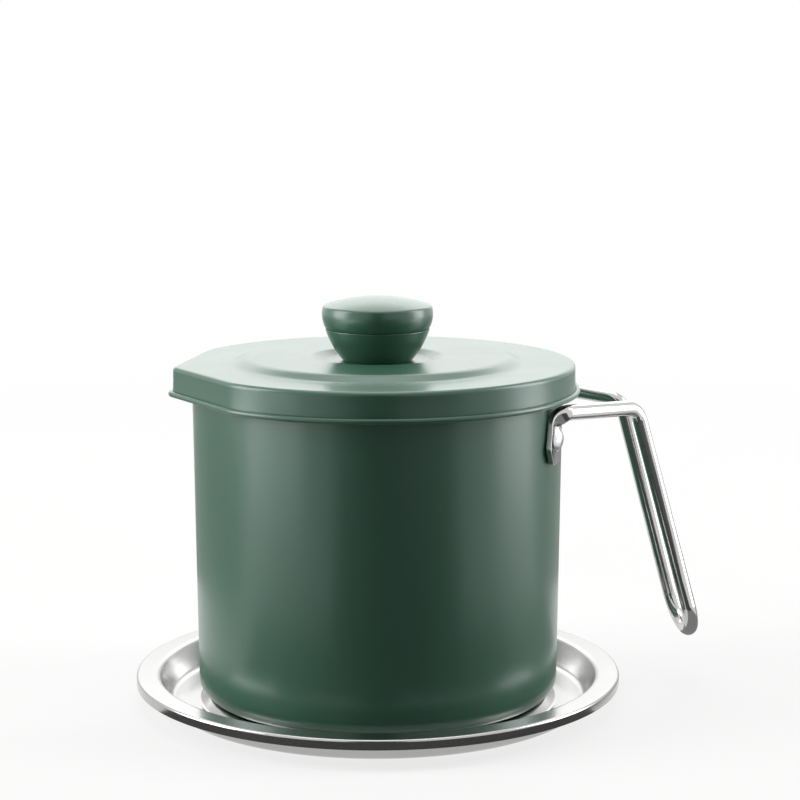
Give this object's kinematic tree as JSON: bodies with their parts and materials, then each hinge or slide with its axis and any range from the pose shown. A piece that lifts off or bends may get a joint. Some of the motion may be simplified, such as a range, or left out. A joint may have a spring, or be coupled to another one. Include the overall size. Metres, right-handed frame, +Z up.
{
  "type": "bacon grease container",
  "caption": "Lidded grease keeper: straight sheet-metal pot with a pouring beak and rod handle, a fine strainer on its rim, a knobbed lid and a shallow drip tray.",
  "frame": {"origin": "on the pot's axis, in the plane that the drip tray stands on", "axes": "+Z up along the pot's axis, +X towards the handle, -X towards the pouring beak"},
  "size_m": [0.2037, 0.1724, 0.1443],
  "materials": {
    "tray_steel": "bright polished pressed stainless sheet",
    "pot_coat": "matte dark green powder coat outside, bare satin stainless inside and on the rolled rim",
    "handle_steel": "mirror polished stainless rod",
    "rivet_metal": "satin, lightly tumbled",
    "strainer_steel": "mirror polished pressed stainless sheet",
    "screen_steel": "fine perforated sheet, satin",
    "lid_coat": "matte to satin dark green powder coat",
    "fastener_steel": "zinc plated, dull"
  },
  "bodies": {
    "tray": {"drip_tray": "tray_steel"},
    "pot": {"pot_body": "pot_coat", "handle": "handle_steel", "rivet_front": "rivet_metal", "rivet_rear": "rivet_metal"},
    "strainer": {"strainer_pan": "strainer_steel", "strainer_screen": "screen_steel"},
    "lid": {"lid_shell": "lid_coat", "knob_cup": "lid_coat", "knob_cap": "lid_coat", "knob_nut": "fastener_steel", "knob_washer": "fastener_steel", "knob_screw": "fastener_steel"}
  },
  "joints": [
    {"name": "pot_lift", "type": "slide", "parent": "tray", "child": "pot", "axis": [0, 0, 1], "range_m": [0, 0.018]},
    {"name": "strainer_lift", "type": "slide", "parent": "pot", "child": "strainer", "axis": [0, 0, 1], "range_m": [0, 0.039]},
    {"name": "lid_lift", "type": "slide", "parent": "strainer", "child": "lid", "axis": [0, 0, 1], "range_m": [0, 0.035]}
  ]
}
